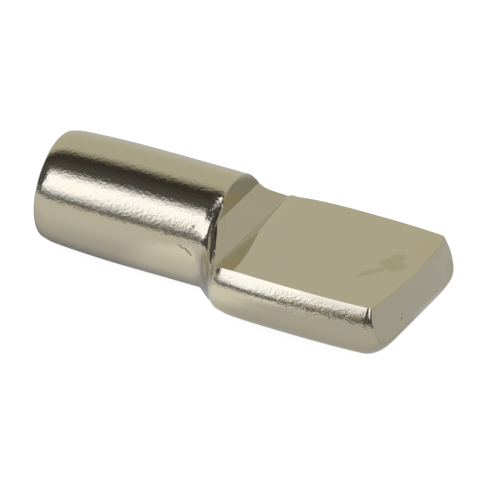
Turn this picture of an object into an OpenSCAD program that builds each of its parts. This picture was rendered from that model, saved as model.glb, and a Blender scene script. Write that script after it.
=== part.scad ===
// Shelf support pin: a round pin that plugs into a cabinet side, pressed out
// at its other end into a flat-topped spade that carries the shelf.
// One forged piece. Units are millimetres.
// X runs from the pin to the spade, Z is up, Y is across.
// The origin is on the pin's axis, where the neck starts to widen.

/* [Pin] */
// diameter of the round pin
pin_d = 5; // [4:0.05:7]
// length of the pin, from its tip to the origin
pin_len = 7; // [5:0.02:12]
// length over which the pin narrows towards its tip
lead_len = 4; // [1:0.1:4.5]
// how much smaller the radius is at the end of that narrowing
lead_drop = 0.21; // [0.05:0.01:0.5]
// rounding of the edge of the tip
tip_r = 0.1; // [0.05:0.05:0.9]

/* [Shoulder] */
// where the steep wall of the shoulder meets the slope, along X
shoulder_x = 1.18; // [0.9:0.01:2]
// how far that crease lies under the top of the pin
shoulder_drop = 1.04; // [0.6:0.01:1.6]
// steepness of the wall, in degrees
wall_angle = 80; // [65:0.5:85]
// steepness of the slope, in degrees
slope_angle = 56.6; // [40:0.2:75]
// rounding of the edge between the pin's top and the wall
edge_r = 0.16; // [0.1:0.02:0.5]

/* [Neck] */
// where the flanks start to widen into the spade, along X, at their middle
flank_start = 0.22; // [0:0.01:1]
// where they start to widen at the pressed rim
rim_start = 0.62; // [0.2:0.01:1.2]
// where the flanks have their full width
flank_end = 2.04; // [1.8:0.01:3]
// where the underside starts to widen
under_start = 0.36; // [0:0.01:1]
// where the underside has its full width
under_end = 2.8; // [2:0.01:3.5]
// where the underside starts to rise
rise_start = 0.76; // [0:0.01:1.4]
// where the underside reaches its level
rise_end = 2.02; // [1.8:0.01:3.5]

/* [Spade] */
// height of the flat above the pin's axis
flat_z = 0.46; // [-0.5:0.01:1.2]
// width of the flat at its widest
flat_w = 7.52; // [6:0.02:12]
// how much narrower each side of the flat is at its foot
foot_taper = 0.32; // [0:0.02:0.8]
// how much narrower each side of the flat is at its far end
end_taper = 0.18; // [0:0.02:0.8]
// where the flat ends, along X
flat_end = 9.1; // [7:0.02:14]
// thickness of the spade
spade_t = 2.38; // [1.6:0.01:3.5]
// how far each side swells out past the edge of the flat
side_swell = 0.45; // [0.1:0.01:0.8]
// how deep under the flat the side is widest
swell_depth = 1.29; // [0.5:0.01:1.6]
// width of the rounding of the sides
side_r = 1.44; // [0.8:0.01:2]

/* [End] */
// how far the end bows out at its middle
end_bow = 0.28; // [0.1:0.01:0.8]
// lean of the end face, outwards at the bottom, in degrees
end_lean = 19.5; // [0:0.5:30]
// rounding of the bottom edge of the end
end_r = 1.06; // [0.2:0.02:1.3]
// rounding of the corners of the end, seen from above
corner_r = 0.9; // [0.3:0.05:1.5]

/* [Hidden] */
$fn = 96;
// small overlap that keeps two cuts from only touching
lap = 0.02;
// how far the skin of the neck starts inside the pin's round edge
step = 0.004;

pin_r = pin_d / 2;
shoulder_z = pin_r - shoulder_drop;
// where the wall, run straight on, would meet the top of the pin
edge_x = shoulder_x - shoulder_drop / tan(wall_angle);
foot_x = shoulder_x + (shoulder_z - flat_z) / tan(slope_angle);
half_w = flat_w / 2;
spade_z = flat_z - spade_t;
// the side is a rounded flank: widest at mid_z, side_r wide; up_r is its height
// above that line
mid_z = flat_z - swell_depth;
up_r = swell_depth / sqrt(1 - pow(1 - side_swell / side_r, 2));
// before the press the top falls from the pin's top to the flank's top
top_fall = pin_r - mid_z - up_r;
top_end = foot_x + side_swell;
// the bottom edge's rounding stays under the line where the side is widest
bottom_r = min(end_r, spade_t - swell_depth - lap);
end_radius = (half_w * half_w + end_bow * end_bow) / (2 * end_bow);
// furthest the end reaches, at the bottom of its lean
end_x = flat_end + (spade_t - bottom_r) * tan(end_lean);
// the loft is cut back by the end cone, so it runs on a little past it
loft_end = end_x + lap;
// where the rim lies on the rounded side, as a share of its height
rim_height = shoulder_z / pin_r;
// points round one section, and the stations along X
ring_n = 72;
neck_steps = 30;
spade_steps = 8;
end_steps = 9;
spade_start = max(under_end, rise_end, flank_end);
round_start = end_x - corner_r;
stations = concat(
  [0, edge_x / 2],
  [for (i = [0 : neck_steps - 1])
    edge_x - edge_r + (spade_start - edge_x + edge_r) * pow(i / neck_steps, 1.25)],
  [for (i = [0 : spade_steps - 1]) spade_start + (round_start - spade_start) * i / spade_steps],
  [for (i = [0 : end_steps - 1]) round_start + corner_r * sin(90 * i / end_steps)],
  [loft_end]);

function clamp(t) = min(max(t, 0), 1);
function ease(t) = let (u = clamp(t)) u * u * (3 - 2 * u);
// the same with a slower start and a quicker end; late_ease holds back the most
function mid_ease(t) = let (u = clamp(t)) pow(u, 3) * (4 - 3 * u);
function late_ease(t) = let (u = clamp(t)) pow(u, 4) * (5 - 4 * u);
// quick from the start, slowing to its end
function early_ease(t) = let (u = clamp(t)) u * (2 - u);
// how far a quarter round of radius r has fallen away at x, when it starts at x0
function fall(x, x0, r) = let (t = clamp((x - x0) / r)) r * (1 - sqrt(max(1 - t * t, 0)));

// half width of the flat along X: widest halfway, a little narrower at both ends
function flat_half(x) =
  let (middle = (foot_x + flat_end) / 2, t = abs(x - middle) / (flat_end - middle))
  half_w - (x < middle ? foot_taper : end_taper) * pow(min(t, 1.3), 2.5);

// how far the top's rounded edge has fallen away at x, until the wall takes over
function edge_fall(x) =
  fall(x, edge_x - edge_r * tan(wall_angle / 2), edge_r)
  * clamp((foot_x - x) / (foot_x - shoulder_x));

// one section at x, before the press: a circle at the pin, the rounded spade
// further on
function section(x) =
  let (
    rim = late_ease((x - rim_start) / (flank_end - rim_start)),
    flank = mid_ease((x - flank_start) / (flank_end - flank_start)),
    under = early_ease((x - under_start) / (under_end - under_start)),
    rise = ease((x - rise_start) / (rise_end - rise_start)),
    drop = ease((x - edge_x) / (top_end - edge_x)),
    wide = flat_half(x) + side_swell - side_r,
    corner = fall(x, round_start, corner_r),
    mid = rim * mid_z,
    start_r = pin_r - step,
    r_up = start_r - edge_fall(x) - drop * top_fall - mid,
    r_low = start_r - rise * (pin_r + spade_z) + mid - fall(x, end_x - bottom_r, bottom_r))
  [for (i = [0 : ring_n - 1])
    let (a = 360 * i / ring_n,
         // how wide it has grown: soonest at the underside, latest at the rim
         f = flank + (under - flank) * max(-sin(a), 0)
             + (rim - flank) * ease(sin(a) / rim_height),
         r_y = start_r + f * (side_r - start_r),
         y = r_y * cos(a) + (f * wide - corner) * max(min(cos(a) * ring_n / 4, 1), -1),
         z = mid + (sin(a) > 0 ? r_up : r_low) * sin(a))
    [x, y, z]];

// round pin with a slightly narrowing lead-in and a rounded tip
module pin() {
  lead_r = (lead_len * lead_len + lead_drop * lead_drop) / (2 * lead_drop);
  tip_radius = pin_r - lead_drop;
  rotate([0, 90, 0])
    rotate_extrude()
      intersection() {
        translate([0, -pin_len]) union() {
          square([tip_radius - tip_r, pin_len]);
          translate([0, tip_r]) square([pin_r, pin_len - tip_r]);
          translate([tip_radius - tip_r, tip_r]) circle(r = tip_r);
        }
        union() {
          translate([0, -pin_len + lead_len]) square([pin_r, pin_len - lead_len]);
          translate([pin_r - lead_r, -pin_len + lead_len]) circle(r = lead_r);
        }
      }
}

// neck and spade as one skin over the sections
module spade_skin() {
  n = ring_n;
  last = len(stations) - 1;
  points = [for (x = stations) each section(x)];
  sides = [for (s = [0 : last - 1], i = [0 : n - 1])
    let (a = s * n + i, b = s * n + (i + 1) % n)
    each [[a, b + n, b], [a, a + n, b + n]]];
  start_cap = [[for (i = [0 : n - 1]) i]];
  end_cap = [[for (i = [n - 1 : -1 : 0]) last * n + i]];
  polyhedron(points = points, faces = concat(sides, start_cap, end_cap));
}

// the end face: part of a wide cone, bowed across and leaning outwards
module end_cone() {
  low = -pin_r - end_r;
  high = pin_r + end_r;
  translate([flat_end - end_radius, 0, low])
    cylinder(h = high - low,
             r1 = end_radius + (flat_z - low) * tan(end_lean),
             r2 = end_radius + (flat_z - high) * tan(end_lean), $fn = 360);
}

// what the press takes away from above: wall, slope and flat, straight across
module press() {
  high = pin_r + end_r;
  far = end_x + end_r;
  rotate([90, 0, 0])
    linear_extrude(height = 2 * flat_w, center = true)
      polygon([[shoulder_x, shoulder_z], [foot_x, flat_z], [far, flat_z], [far, high],
               [shoulder_x - (high - shoulder_z) / tan(wall_angle), high]]);
}

module support_pin() {
  color([0.72, 0.68, 0.6])
    difference() {
      union() {
        pin();
        intersection() {
          spade_skin();
          end_cone();
        }
      }
      press();
    }
}

support_pin();
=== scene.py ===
import math

import bmesh
import bpy
import numpy as np
from mathutils import Matrix, Vector


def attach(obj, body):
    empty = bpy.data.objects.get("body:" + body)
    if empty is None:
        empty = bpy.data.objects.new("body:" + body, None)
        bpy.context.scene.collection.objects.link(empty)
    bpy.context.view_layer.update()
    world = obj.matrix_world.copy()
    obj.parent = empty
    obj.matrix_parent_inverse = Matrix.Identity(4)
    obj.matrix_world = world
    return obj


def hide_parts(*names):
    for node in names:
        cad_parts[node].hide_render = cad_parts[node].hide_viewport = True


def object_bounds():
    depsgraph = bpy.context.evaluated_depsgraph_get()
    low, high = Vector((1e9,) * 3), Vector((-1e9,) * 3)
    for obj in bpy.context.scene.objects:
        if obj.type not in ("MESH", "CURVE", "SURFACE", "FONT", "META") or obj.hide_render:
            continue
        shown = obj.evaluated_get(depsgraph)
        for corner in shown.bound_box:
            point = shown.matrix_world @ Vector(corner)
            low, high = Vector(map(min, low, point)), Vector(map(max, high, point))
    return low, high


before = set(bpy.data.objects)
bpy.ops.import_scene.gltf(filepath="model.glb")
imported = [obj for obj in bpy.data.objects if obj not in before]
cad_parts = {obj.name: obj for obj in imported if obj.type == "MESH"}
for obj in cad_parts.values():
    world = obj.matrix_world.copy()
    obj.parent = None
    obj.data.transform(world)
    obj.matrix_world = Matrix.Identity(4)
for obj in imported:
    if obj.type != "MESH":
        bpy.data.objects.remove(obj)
cad_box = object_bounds()
MM = 0.001

# ---------------------------------------------------------------- sizes, in mm
# the pin, its lead-in, the soft rounding behind the tip and the tip's rounded edge
PIN_R, PIN_LEN = 2.5, 7.0
LEAD_LEN, LEAD_DROP = 4.0, 0.15
TIP_LEN, TIP_DEPTH = 0.70, 0.10
TIP_R = 0.10
# shoulder: rounded edge over a steep wall, a crease, then the slope down to the flat
SHOULDER_X, SHOULDER_DROP = 1.18, 1.04
EDGE_R, WALL, SLOPE = 0.03, 80.0, 56.6
# the flat lies a little lower at its foot
FOOT_DIP, FOOT_DIP_LEN = 0.062, 1.7
# where the flanks widen, the underside widens and the underside rises
RIM_A, FLANK_A, FLANK_B = 0.62, 0.22, 2.04
UNDER_A, UNDER_B = 0.29, 2.80
RISE_A, RISE_B = 0.76, 2.02
# the flat: height, width, how much narrower each side is at its foot and its end
FLAT_Z, FLAT_W, FLAT_END = 0.46, 7.52, 9.10
FOOT_TAPER, FOOT_TAPER_FRONT, END_TAPER = 0.32, 0.15, 0.18
# the spade's thickness and sides, and the shape of its end
SPADE_T, SIDE_SWELL, SWELL_DEPTH, SIDE_R = 2.38, 0.45, 1.29, 1.44
END_BOW, END_LEAN, END_R, CORNER_R = 0.28, 19.5, 1.06, 0.90
# softness of the neck's rim, the foot, the crease and the rim of the end
RIM_SOFT, FOOT_SOFT, CREASE_SOFT, END_RIM = 0.02, 0.03, 0.04, 0.10
# wear of the shoulder's corners: its length before the wall, how steeply it sets in
# and how soon, how steep it is at the wall low and high on the corner, and the share
# of it that the far corner has
WORN_LEN, WORN_SET, WORN_TURN = 0.62, 0.17, 0.1
WORN_END, WORN_END_MORE, WORN_FAR = 0.38, 0.30, 0.55
# what the press pushed out at the front: how far, where it starts and how much later
# it starts low down
BURR, BURR_X, BURR_LATER = 0.17, 0.84, 0.26
# how much flatter the sides are under the rim and at their foot, and the front side
# from halfway down
UNDER_RIM_FLAT, FOOT_FLAT, FRONT_FLAT = 0.22, 0.03, 0.084

half_w = FLAT_W / 2
shoulder_z = PIN_R - SHOULDER_DROP
wall_t = math.tan(math.radians(WALL))
edge_x = SHOULDER_X - SHOULDER_DROP / wall_t
slope_t = math.tan(math.radians(SLOPE))
foot_x = SHOULDER_X + (shoulder_z - FLAT_Z) / slope_t
mid_z = FLAT_Z - SWELL_DEPTH
up_r = SWELL_DEPTH / math.sqrt(1 - (1 - SIDE_SWELL / SIDE_R) ** 2)
end_radius = (half_w ** 2 + END_BOW ** 2) / (2 * END_BOW)
lean_t = math.tan(math.radians(END_LEAN))
end_x = FLAT_END + (SPADE_T - END_R) * lean_t


def ease(t):
    t = np.clip(t, 0, 1)
    return t * t * (3 - 2 * t)


def late_ease(t):
    t = np.clip(t, 0, 1)
    return t ** 4 * (5 - 4 * t)


def mid_ease(t):
    t = np.clip(t, 0, 1)
    return t ** 3 * (4 - 3 * t)


def early_ease(t):
    t = np.clip(t, 0, 1)
    t = 1.10 * t * t / (t + 0.10)
    return t * (2 - t)


def soft_min(a, b, k):
    s = np.maximum(k - np.abs(a - b), 0) / k
    return np.minimum(a, b) - s * s * k / 4


def soft_max(a, b, k):
    return -soft_min(-a, -b, k)


def fall(x, x0, r):
    """How far a rounding of radius r that starts at x0 has fallen at x."""
    t = np.clip((x - x0) / r, 0, 1)
    return r * (1 - np.sqrt(np.maximum(1 - t * t, 0)))


def top_z(x):
    """Height of the pressed top: wall, crease, slope, flat."""
    wall = shoulder_z + (SHOULDER_X - x) * wall_t
    slope = shoulder_z - (x - SHOULDER_X) * (slope_t + FOOT_DIP / (foot_x - SHOULDER_X))
    flat = FLAT_Z - FOOT_DIP * np.clip(1 - (x - foot_x) / FOOT_DIP_LEN, 0, 1) ** 2
    return soft_max(soft_max(wall, slope, CREASE_SOFT), flat, FOOT_SOFT)


def lead_r(q):
    """Radius of the pin at a distance q from its tip."""
    r = PIN_R - LEAD_DROP * np.clip((LEAD_LEN - q) / LEAD_LEN, 0, 1) ** 2
    r = r - TIP_DEPTH * np.clip(1 - q / TIP_LEN, 0, 1) ** 2
    t = np.clip(1 - q / TIP_R, 0, 1)
    return r - TIP_R * (1 - np.sqrt(np.maximum(1 - t * t, 0)))


# Below, s is the sine of the angle round the section, 0 at its side and 1 on top, and
# side is below 0 at the front.
def pushed_out(x, s, side):
    """How far the press has pushed the front side out, beside the slope."""
    start = BURR_X + BURR_LATER * ease((0.52 - s) / 0.30)
    burr = BURR * ease((x - start) / 0.38) * (1 - ease((x - 1.3) / 0.5))
    burr = burr * ease((s - 0.10) / 0.25) * (1 - ease((s - 0.62) / 0.1))
    return burr * (side < 0)


def worn_off(x, s, side):
    """How far the edge over the wall is rounded over the top and worn at its sides."""
    wall_x = SHOULDER_X - (PIN_R * s - shoulder_z) / wall_t
    edge = fall(x, wall_x - EDGE_R * math.tan(math.radians(WALL / 2)), EDGE_R)
    edge = edge * ease((s - 0.5) / 0.2)
    front = (1 - ease((s - 0.83) / 0.05)) * (0.4 + 0.6 * ease((s - 0.50) / 0.15))
    far = WORN_FAR * (1 - ease((s - 0.60) / 0.38))
    worn = np.where(side < 0, front, far) * ease((s - 0.08) / 0.25)
    end_slope = WORN_END + WORN_END_MORE * ease((s - 0.68) / 0.12)
    t = np.clip((x - wall_x) / WORN_LEN + 1, 0, 1.3)
    deep = WORN_SET * t * t / (t + WORN_TURN) + (end_slope - WORN_SET) * t ** 3 / 3
    off = edge + worn * WORN_LEN * deep
    return off * ease((foot_x - x) / (foot_x - SHOULDER_X))


def flattened(x, below_rim, z, widened, side):
    """How much flatter the spade's side is under the rim, and its front side lower down."""
    u = np.clip(below_rim, 0, 1)
    flat = UNDER_RIM_FLAT * u * (1 - u) ** 2 * widened
    flat = flat + FOOT_FLAT * ease(u / 0.5) * widened * (1 - ease((x - 1.9) / 1.7))
    turn_z = -0.12 + 0.10 * ease((x - 4.8) / 1.0)
    depth = turn_z + 0.18 - z
    steep = FRONT_FLAT * ease(depth / 0.75) * (1 - ease(depth / 1.1 - 0.85))
    return flat + steep * widened * (side < 0)


def skin(x, region, p, side):
    """Points of the half section at x, a share p of the way along a region.

    Region 0 runs from the top's middle to the rim, 1 from the rim to the bottom's middle.
    """
    # how far the rim, the flank's middle and the underside have widened
    f = late_ease((x - RIM_A) / (FLANK_B - RIM_A))
    fm = mid_ease((x - FLANK_A) / (FLANK_B - FLANK_A))
    under = early_ease((x - UNDER_A) / (UNDER_B - UNDER_A))
    drop = ease((x - edge_x) / (foot_x + SIDE_SWELL - edge_x))
    rise = ease((x - RISE_A) / (RISE_B - RISE_A))
    # half width of the flat
    m = (foot_x + FLAT_END) / 2
    t = (x - m) / (FLAT_END - m)
    taper = np.where(t < 0, np.where(side < 0, FOOT_TAPER_FRONT, FOOT_TAPER), END_TAPER)
    flat = half_w - taper * np.minimum(np.abs(t), 1.3) ** 2.5
    corner = fall(x, end_x - CORNER_R, CORNER_R)
    wide = flat + SIDE_SWELL - SIDE_R
    # the arcs over and under the widest height
    mid = f * mid_z
    r0 = np.where(x < 0, lead_r(x + PIN_LEN), PIN_R)
    ru = r0 + drop * (mid_z + up_r - PIN_R) - mid
    rl = r0 - rise * (PIN_R + FLAT_Z - SPADE_T) + mid - fall(x, end_x - END_R, END_R)
    half = math.pi / 2
    cut = np.arcsin(np.clip((top_z(x) - mid) / ru, 0.05, 1))
    rim = 60 + 27 * np.clip((x + 2) / (edge_x + 1.9), 0, 1)
    rim = np.minimum(np.radians(rim), cut)
    top_c = np.maximum(f * wide - corner, 0)
    low_c = np.maximum(under * wide - corner, 0)
    arc_u = (half - rim) * (r0 + f * (SIDE_R - r0) + ru) / 2
    arc_l = (half + rim) * (r0 + fm * (SIDE_R - r0) + rl) / 2
    s0 = p * (top_c + arc_u)
    s1 = p * (low_c + arc_l)
    th = np.where(region == 0, half - np.maximum(s0 - top_c, 0) / arc_u * (half - rim),
                  rim - np.minimum(s1, arc_l) / arc_l * (half + rim))
    # the flank widens soonest below and latest at the rim
    s = np.sin(th)
    g = fm + (under - fm) * np.maximum(-s, 0) + (f - fm) * ease(s / 0.6)
    c = np.maximum(g * wide - corner, 0) + pushed_out(x, s, side)
    off = worn_off(x, s, side)
    rz = np.where(th > 0, ru, rl)
    flatter = flattened(x, FLAT_Z - mid - ru * s, mid + rz * s, f, side)
    y = c + (r0 + g * (SIDE_R - r0) - off) * np.cos(th) - flatter
    y = np.where(region == 0, np.where(s0 < top_c, s0, y),
                 np.where(s1 > arc_l, low_c - (s1 - arc_l), y))
    return y, mid + (rz - off) * s


# ------------------------------------------------------- the ring of one section
N_TOP, N_SIDE = 44, 60


def ring_nodes():
    """Region, share of it and side of each node, from the top's middle and round."""
    u = np.arange(N_TOP) / N_TOP
    p0 = 0.3 * u + 0.7 * (1 - (1 - u) ** 2)
    v = np.arange(N_SIDE + 1) / N_SIDE
    p1 = 0.35 * v + 0.65 * v ** 2
    region = np.r_[np.zeros(N_TOP), np.ones(N_SIDE + 1)]
    p = np.r_[p0, p1]
    # half ring from top middle (y >= 0) to bottom middle, then back up the other side
    back = slice(-2, 0, -1)
    region = np.r_[region, region[back]]
    p = np.r_[p, p[back]]
    side = np.r_[np.ones(N_TOP + N_SIDE + 1), -np.ones(N_TOP + N_SIDE - 1)]
    return region, p, side


REGION, SHARE, SIDE = ring_nodes()
N = len(SHARE)


def ring(x):
    """Points of whole rings at x, an array broadcast against the ring's own nodes."""
    y, z = skin(x, REGION, SHARE, SIDE)
    y = y * SIDE
    soft = 0.002 + RIM_SOFT * (1 - ease((x - 1.6) / 0.9))
    z = np.where(x > edge_x - 0.4, soft_min(z, top_z(x), soft), z)
    return np.stack([np.broadcast_to(x, y.shape), y, z], -1)


def cone_x(y, z):
    """Where the end face, part of a leaning cone, stands at y and z."""
    r = end_radius + (FLAT_Z - z) * lean_t
    return FLAT_END - end_radius + np.sqrt(np.maximum(r * r - y * y, 0.01))


def unit(v):
    return v / np.linalg.norm(v, axis=1)[:, None]


# sections stand this far apart, and closer by a few places where the form turns
# quickly: where, how far round it, and how close
SPACING = 0.105
TIP_X = -PIN_LEN + TIP_R
CLOSER = ((SHOULDER_X, 0.5, 0.008), (foot_x, 0.4, 0.012),
          (edge_x, 0.9, 0.010), (TIP_X, 0.5, 0.03))
# past this x each line runs on by itself to the end face, whose middle is at FACE_Z
LAST_X, FACE_Z = 8.3, -0.6


def stations(x0, x1):
    x = np.linspace(x0, x1, 6000)
    gap = np.full_like(x, SPACING)
    for at, width, least in CLOSER:
        far = np.clip((np.abs(x - at) / width) ** 1.5, 0, 1)
        gap = np.minimum(gap, least + (SPACING - least) * far)
    n = np.concatenate([[0], np.cumsum(np.diff(x) / gap[:-1])])
    k = int(round(n[-1]))
    return np.interp(np.linspace(0, n[-1], k + 1), n, x)


def build_skin():
    rows = []
    # face of the tip, then its rounded edge
    base = ring(np.float64(-PIN_LEN))
    shrink = lead_r(0.0) / np.hypot(base[:, 1], base[:, 2])
    for w in (0.0, 0.25, 0.5, 0.75, 0.9):
        rows.append(base * np.stack([np.ones(N), w * shrink, w * shrink], 1))
    tip = TIP_R * (1 - np.cos(np.linspace(0, math.pi / 2, 9)))
    for x in (*(tip[:-1] - PIN_LEN), *stations(TIP_X, LAST_X)):
        rows.append(ring(np.float64(x)))
    # run each line on to where it meets the face of the end
    lo, hi = np.full(N, LAST_X), np.full(N, end_x)
    for _ in range(40):
        m = (lo + hi) / 2
        P = ring(m)
        short = m < cone_x(P[:, 1], P[:, 2])
        lo = np.where(short, m, lo)
        hi = np.where(short, hi, m)
    cut = (lo + hi) / 2
    K = ring(cut)
    # each line stops where the rounded rim of the end starts
    e = 0.002
    rate = np.linalg.norm(ring(cut - e) - K, axis=1) / e
    stop = cut - END_RIM / rate
    for u in np.linspace(0, 1, 30)[1:]:
        rows.append(ring(LAST_X + (stop - LAST_X) * u))
    # inward direction on the face, turned gradually round the corners so that the
    # lines don't cross
    along = np.roll(K, -1, 0) - np.roll(K, 1, 0)
    inw = np.stack([np.zeros(N), -along[:, 2], along[:, 1]], 1)
    inw *= np.sign(inw[:, 1] * -K[:, 1] + inw[:, 2] * (FACE_Z - K[:, 2]))[:, None]
    inw = unit(inw)
    for _ in range(24):
        inw = inw / 2 + (np.roll(inw, 1, 0) + np.roll(inw, -1, 0)) / 4
    Q = K + unit(inw) * END_RIM
    Q[:, 0] = cone_x(Q[:, 1], Q[:, 2])
    S = rows[-1]
    for u in np.linspace(0, 1, 7)[1:]:
        rows.append((1 - u) ** 2 * S + 2 * u * (1 - u) * K + u * u * Q)
    # the face itself, closing on its middle
    for w in np.linspace(0, 1, 25)[1:]:
        y = Q[:, 1] * (1 - w)
        z = Q[:, 2] + (FACE_Z - Q[:, 2]) * w
        rows.append(np.stack([cone_x(y, z), y, z], 1))
    return np.array(rows)


SHARP = math.radians(24)


def mesh_from_rows(rows, name):
    k, n, _ = rows.shape
    verts = rows.reshape(-1, 3) * MM
    a = (np.arange(k - 1)[:, None] * n + np.arange(n)[None, :])
    b = (np.arange(k - 1)[:, None] * n + (np.arange(n)[None, :] + 1) % n)
    quads = np.stack([a, a + n, b + n, b], -1).reshape(-1, 4)
    me = bpy.data.meshes.new(name)
    me.from_pydata(verts.tolist(), [], quads.tolist())
    # 1 on the pressed faces, the top and the end, and 0 on the round ones
    x, y, z = rows[..., 0], rows[..., 1], rows[..., 2]
    top = np.where(x > edge_x, ease((z - top_z(x) + 0.18) / 0.08), 0)
    pressed = np.maximum(top, ease((x - cone_x(y, z) + 0.04) / 0.03))
    layer = me.attributes.new("pressed", "FLOAT", "POINT")
    layer.data.foreach_set("value", pressed.ravel().astype(np.float32))
    bm = bmesh.new()
    bm.from_mesh(me)
    bmesh.ops.remove_doubles(bm, verts=bm.verts, dist=2e-7)
    bmesh.ops.dissolve_degenerate(bm, dist=1e-8, edges=bm.edges)
    bmesh.ops.recalc_face_normals(bm, faces=bm.faces)
    for f in bm.faces:
        f.smooth = True
    for ed in bm.edges:
        if len(ed.link_faces) == 2 and ed.calc_face_angle(0) > SHARP:
            ed.smooth = False
    bm.to_mesh(me)
    bm.free()
    me.update()
    ob = bpy.data.objects.new(name, me)
    bpy.context.scene.collection.objects.link(ob)
    return ob


pin = mesh_from_rows(build_skin(), "support_pin_form")
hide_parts("support_pin")
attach(pin, "root")


# --------------------------------------------------- nodes, made in the tree `nt`
def cleared(owner):
    owner.use_nodes = True
    owner.node_tree.nodes.clear()
    return owner.node_tree


def new(kind, **values):
    n = nt.nodes.new(kind)
    for k, v in values.items():
        setattr(n, k, v)
    return n


def calc(op, *values):
    n = new("ShaderNodeMath", operation=op)
    for i, v in enumerate(values):
        if isinstance(v, (int, float)):
            n.inputs[i].default_value = v
        else:
            nt.links.new(v, n.inputs[i])
    return n.outputs[0]


def chain(op, first, *rest):
    for v in rest:
        first = calc(op, first, v)
    return first


def times(*values):
    return chain("MULTIPLY", *values)


def most(*values):
    return chain("MAXIMUM", *values)


def without(v):
    return calc("SUBTRACT", 1.0, v)


def ramp(v, lo, hi, a=0.0, b=1.0):
    """a at lo, b at hi, smooth between and level outside."""
    n = new("ShaderNodeMapRange", interpolation_type="SMOOTHSTEP")
    nt.links.new(v, n.inputs[0])
    if lo > hi:
        lo, hi, a, b = hi, lo, b, a
    for i, v in enumerate((lo, hi, a, b)):
        n.inputs[i + 1].default_value = v
    return n.outputs[0]


def ramp_mm(v, lo, hi, a=0.0, b=1.0):
    return ramp(v, lo * MM, hi * MM, a, b)


def inside(v, lo, hi, soft):
    """1 between lo and hi, 0 outside, in mm."""
    return times(ramp_mm(v, lo - soft, lo + soft), ramp_mm(v, hi + soft, hi - soft))


def mix(base, over, fac):
    n = new("ShaderNodeMix", data_type="RGBA")
    nt.links.new(fac, n.inputs[0])
    for i, v in ((6, base), (7, over)):
        if isinstance(v, tuple):
            n.inputs[i].default_value = (*v, 1)
        else:
            nt.links.new(v, n.inputs[i])
    return n.outputs[2]


def xyz(vector):
    n = new("ShaderNodeSeparateXYZ")
    nt.links.new(vector, n.inputs[0])
    return n.outputs


def joined(kind, first, second):
    """An Add Shader or Mix Shader node over two shaders; the inputs end with them."""
    n = new(kind)
    nt.links.new(first, n.inputs[-2])
    nt.links.new(second, n.inputs[-1])
    return n


# ---------------------------------------------------------------------- material
nickel = bpy.data.materials.new("nickel_plated_steel")
nt = cleared(nickel)
bsdf = new("ShaderNodeBsdfPrincipled")
nt.links.new(bsdf.outputs[0], new("ShaderNodeOutputMaterial").inputs[0])
bsdf.inputs["Metallic"].default_value = 1.0
here = new("ShaderNodeTexCoord").outputs["Object"]
PX, PY, PZ = xyz(here)


def noise(size, detail=2.0, rough=0.5):
    """Noise whose features are about `size` mm."""
    m = new("ShaderNodeMapping")
    m.inputs["Scale"].default_value = (1 / (size * MM),) * 3
    nt.links.new(here, m.inputs[0])
    n = new("ShaderNodeTexNoise")
    n.inputs["Scale"].default_value = 1.0
    n.inputs["Detail"].default_value = detail
    n.inputs["Roughness"].default_value = rough
    nt.links.new(m.outputs[0], n.inputs["Vector"])
    return n.outputs["Fac"]


def bump(height, distance, strength=None, under=None):
    """Bump of `distance` mm, where `strength` lets it, over the normal `under`."""
    b = new("ShaderNodeBump")
    b.inputs["Strength"].default_value = 1.0
    b.inputs["Distance"].default_value = distance * MM
    for v, name in ((height, "Height"), (strength, "Strength"), (under, "Normal")):
        if v is not None:
            nt.links.new(v, b.inputs[name])
    return b.outputs[0]


def blob(at, half, along=0.0, rag=0.35, plane=None):
    """1 in an ellipsoid at `at` with half sizes `half`, in mm, and 0 outside.

    It is turned by `along` degrees in its plane, and its edge is ragged.
    """
    m = new("ShaderNodeMapping", vector_type="TEXTURE")
    m.inputs["Location"].default_value = tuple(v * MM for v in at)
    turned = {"xy": (0, 0, along), "xz": (0, -along, 0), None: (0, 0, 0)}[plane]
    m.inputs["Rotation"].default_value = tuple(math.radians(v) for v in turned)
    m.inputs["Scale"].default_value = tuple(v * MM for v in half)
    nt.links.new(here, m.inputs[0])
    far = new("ShaderNodeVectorMath", operation="LENGTH")
    nt.links.new(m.outputs[0], far.inputs[0])
    wave = calc("MULTIPLY_ADD", noise(max(half) * 0.5, 2.0, 0.6), rag * 2, -rag)
    return ramp(calc("ADD", far.outputs["Value"], wave), 1.15, 0.65)


# orange peel on the round faces, hardly any on the pressed ones
pressed = new("ShaderNodeAttribute", attribute_name="pressed").outputs["Fac"]
peel = calc("ADD", times(noise(0.40, 1.0), 0.45), noise(0.13, 2.0, 0.62))
normal = bump(peel, 0.009, ramp(pressed, 0.0, 1.0, 1.0, 0.04))
# rougher skin under the rim at the front of the spade
scuff = times(inside(PX, 4.9, 9.0, 0.5), inside(PZ, -0.42, 0.22, 0.12),
              ramp_mm(PY, -2.8, -3.2), ramp(noise(0.7, 2.0, 0.6), 0.38, 0.56))
normal = bump(noise(0.16, 2.0, 0.6), 0.022, scuff, normal)
# two nicks in the pin's side near the neck, a pit in the end face and a spot on the
# shoulder, dented in by bump; their dark colour is painted shade
dents_with_painted_shade = most(blob((0.17, -2.5, 0.04), (0.24, 0.2, 0.055), -38, 0.3, "xz"),
             blob((-0.17, -2.5, 0.19), (0.14, 0.2, 0.04), -30, 0.3, "xz"),
             blob((9.436, -1.786, -0.664), (0.09, 0.075, 0.05), rag=0.1),
             blob((0.234, -2.245, 1.099), (0.05, 0.05, 0.05), rag=0.1))
nt.links.new(bump(without(dents_with_painted_shade), 0.03, under=normal), bsdf.inputs["Normal"])

tone = mix((0.565, 0.495, 0.332), (0.525, 0.495, 0.372), noise(1.6, 3.0, 0.6))
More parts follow.
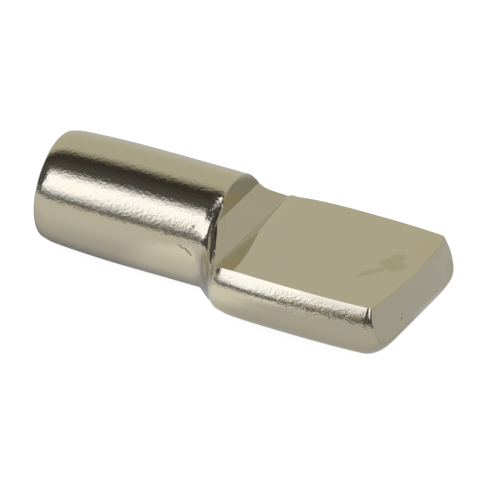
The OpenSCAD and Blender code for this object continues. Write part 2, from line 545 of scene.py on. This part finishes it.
# faint brown stain on the flat, warmer and greener tints towards the end
stain = most(blob((8.05, 0.22, FLAT_Z), (0.55, 0.60, 0.5), 20, 0.45, "xy"),
             blob((7.55, -0.80, FLAT_Z), (0.80, 0.20, 0.5), 58, 0.35, "xy"),
             blob((8.02, 0.95, FLAT_Z), (0.35, 0.28, 0.5), 20, 0.4, "xy"))
warm = blob((8.7, 2.3, FLAT_Z), (0.6, 1.0, 0.6), 0, 0.5, "xy")
olive = most(blob((9.3, 3.2, -0.75), (0.5, 0.45, 0.45)),
             blob((9.53, -0.51, -0.77), (0.14, 0.1, 0.1)))
for colour, mask, share in (((0.455, 0.405, 0.262), stain, 0.85),
                            ((0.55, 0.465, 0.30), warm, 0.6),
                            ((0.46, 0.47, 0.26), olive, 0.5),
                            # painted shade in the dents
                            ((0.16, 0.14, 0.09), dents_with_painted_shade, 0.7)):
    tone = mix(tone, colour, times(mask, share))
nt.links.new(tone, bsdf.inputs["Base Color"])
rough = ramp(noise(1.1, 3.0, 0.6), 0.35, 0.65, 0.04, 0.075)
nt.links.new(rough, bsdf.inputs["Roughness"])
pin.data.materials.append(nickel)

# ------------------------------------------------------------------------- floor
bpy.ops.mesh.primitive_plane_add(size=6.0, location=(0, 0, cad_box[0][2]))
floor = bpy.context.object
floor.name = "floor"
fm = bpy.data.materials.new("floor")
nt = cleared(fm)
lp = new("ShaderNodeLightPath")
FX, FY, _ = xyz(new("ShaderNodeNewGeometry").outputs["Position"])

# painted light and shade that reflections see of the floor: dimmer close in front and to
# the right, a painted bright patch beside the neck, dark far off, painted shade under the
# object and a painted shadow behind it
level = ramp_mm(FY, -6, -1, 0.66, 0.44)
painted_light_patch = times(ramp_mm(FX, -4, -2, 0.0, 0.36), ramp_mm(FX, 2.5, 0))
level = times(level, calc("ADD", ramp_mm(FX, 0.5, 3.5, 1.0, 0.78), painted_light_patch))
level = times(level, ramp_mm(FY, -60, -20, 0.1, 1.0))
# painted shade under the object
under = times(ramp_mm(FY, -2.6, -1.0, 0.0, 0.60), ramp_mm(FX, 8.5, 6.0))
level = times(level, without(under))
level = calc("MULTIPLY_ADD", ramp_mm(FY, 1, 2), calc("SUBTRACT", 0.44, level), level)
# painted shadow behind the object, in a darker, yellower colour
shadow = times(inside(FY, 8.0, 13.0, 0.5), inside(FX, -9.75, 9.75, 0.75))
mirrored = new("ShaderNodeEmission")
nt.links.new(mix((1.0, 1.0, 1.04), (0.36, 0.36, 0.26), shadow), mirrored.inputs[0])
bounced = most(lp.outputs["Is Glossy Ray"], lp.outputs["Is Transmission Ray"])
nt.links.new(times(bounced, level), mirrored.inputs[1])
# what the camera sees of it: nearly white, with the object's shadow
seen = new("ShaderNodeEmission")
seen.inputs[0].default_value = (1, 1, 1, 1)
nt.links.new(times(lp.outputs["Is Camera Ray"], 0.92), seen.inputs[1])
diff = new("ShaderNodeBsdfDiffuse")
diff.inputs[0].default_value = (0.3, 0.3, 0.3, 1)
both = joined("ShaderNodeAddShader", mirrored.outputs[0], seen.outputs[0])
whole = joined("ShaderNodeAddShader", diff.outputs[0], both.outputs[0])
nt.links.new(whole.outputs[0], new("ShaderNodeOutputMaterial").inputs[0])
floor.data.materials.append(fm)

# ------------------------------------------------------------------------- world
world = bpy.data.worlds.new("studio")
bpy.context.scene.world = world
nt = cleared(world)

BACKDROP, BACKDROP_RIGHT = (0.71, 0.71, 0.65), (0.63, 0.62, 0.58)
OVERHEAD, OVERHEAD_LOW = (0.062, 0.054, 0.055), (0.11, 0.11, 0.12)
SOFTBOX, GLOW = (1.80, 1.88, 2.36), (0.52, 0.50, 0.46)

dx, dy, dz = xyz(new("ShaderNodeTexCoord").outputs["Generated"])
# angle round the X axis: 0 level behind, 90 straight up, 180 level in front, in degrees
turn = times(calc("ARCTAN2", dz, dy), 180 / math.pi)
# from behind, up and over: backdrop, dark overhead, softbox
col = mix(BACKDROP, BACKDROP_RIGHT, ramp(dx, 0.30, 0.45))
col = mix(col, OVERHEAD, ramp(turn, 66, 87))
col = mix(col, OVERHEAD_LOW, ramp(turn, 92, 115))
# the softbox is in two parts with a gap between them; the right one reaches higher,
# and near the gap the lower edge of the left one is higher
lift = calc("ADD", turn, ramp(dx, 0.0, 0.15, 0.0, 22.0))
low = calc("MULTIPLY_ADD", ramp(dx, -0.352, -0.325, 0.0, 15.0), ramp(dx, 0.12, 0.05), turn)
lit = times(ramp(lift, 117, 139), ramp(low, 182, 156))
gap = times(ramp(dx, -0.16, -0.10), ramp(dx, 0.14, 0.08))
# where the left part ends, and the right one, which ends sooner the lower it is
out_l = ramp(calc("ADD", dx, ramp(turn, 148, 162, 0.0, 0.07)), -0.655, -0.70)
out_r = most(times(ramp(dx, 0.62, 0.70), ramp(turn, 122, 130)),
             times(ramp(dx, 0.10, 0.14), ramp(turn, 150, 156)),
             ramp(dx, 0.85, 0.90))
lit = times(lit, without(most(gap, out_r, out_l)))
# a weaker glow stands under the left part's raised edge
glow = times(ramp(dx, -0.352, -0.325), ramp(dx, -0.12, -0.16),
             ramp(turn, 140, 152), ramp(turn, 180, 166, 0.4, 1.0))
col = mix(mix(col, GLOW, glow), SOFTBOX, lit)
studio = new("ShaderNodeBackground")
nt.links.new(col, studio.inputs[0])
# the camera sees white instead
white = new("ShaderNodeBackground")
white.inputs[0].default_value = (1, 1, 1, 1)
shown = joined("ShaderNodeMixShader", studio.outputs[0], white.outputs[0])
nt.links.new(new("ShaderNodeLightPath").outputs["Is Camera Ray"], shown.inputs[0])
nt.links.new(shown.outputs[0], new("ShaderNodeOutputWorld").inputs[0])

# ---------------------------------------------------------------------- camera
# angles in degrees, the frame's middle in mm, the distance in mm, pixels to a mm
AZ, EL, ROLL, TX, TY, DIST, SCALE = 23.560, 28.266, 4.104, -1.622, 0.973, 300.18, 24.514
SENSOR, FRAME_PX = 36, 500
a, e, r = (math.radians(v) for v in (AZ, EL, ROLL))
back = Vector((math.sin(a) * math.cos(e), -math.cos(a) * math.cos(e), math.sin(e)))
right = Vector((math.cos(a), math.sin(a), 0))
up = back.cross(right)
cam_x = math.cos(r) * right + math.sin(r) * up
cam_y = -math.sin(r) * right + math.cos(r) * up
place = (DIST * back - (TX + 0.5 / SCALE) * cam_x - (TY - 0.5 / SCALE) * cam_y) * MM
cam = bpy.data.cameras.new("camera")
cam.sensor_width = SENSOR
cam.lens = SENSOR * DIST * SCALE / FRAME_PX
cam.clip_start = 0.01
cam_ob = bpy.data.objects.new("camera", cam)
cam_ob.matrix_world = Matrix((
    (cam_x.x, cam_y.x, back.x, place.x),
    (cam_x.y, cam_y.y, back.y, place.y),
    (cam_x.z, cam_y.z, back.z, place.z),
    (0, 0, 0, 1)))
bpy.context.scene.collection.objects.link(cam_ob)
bpy.context.scene.camera = cam_ob
bpy.context.scene.view_settings.view_transform = "Standard"
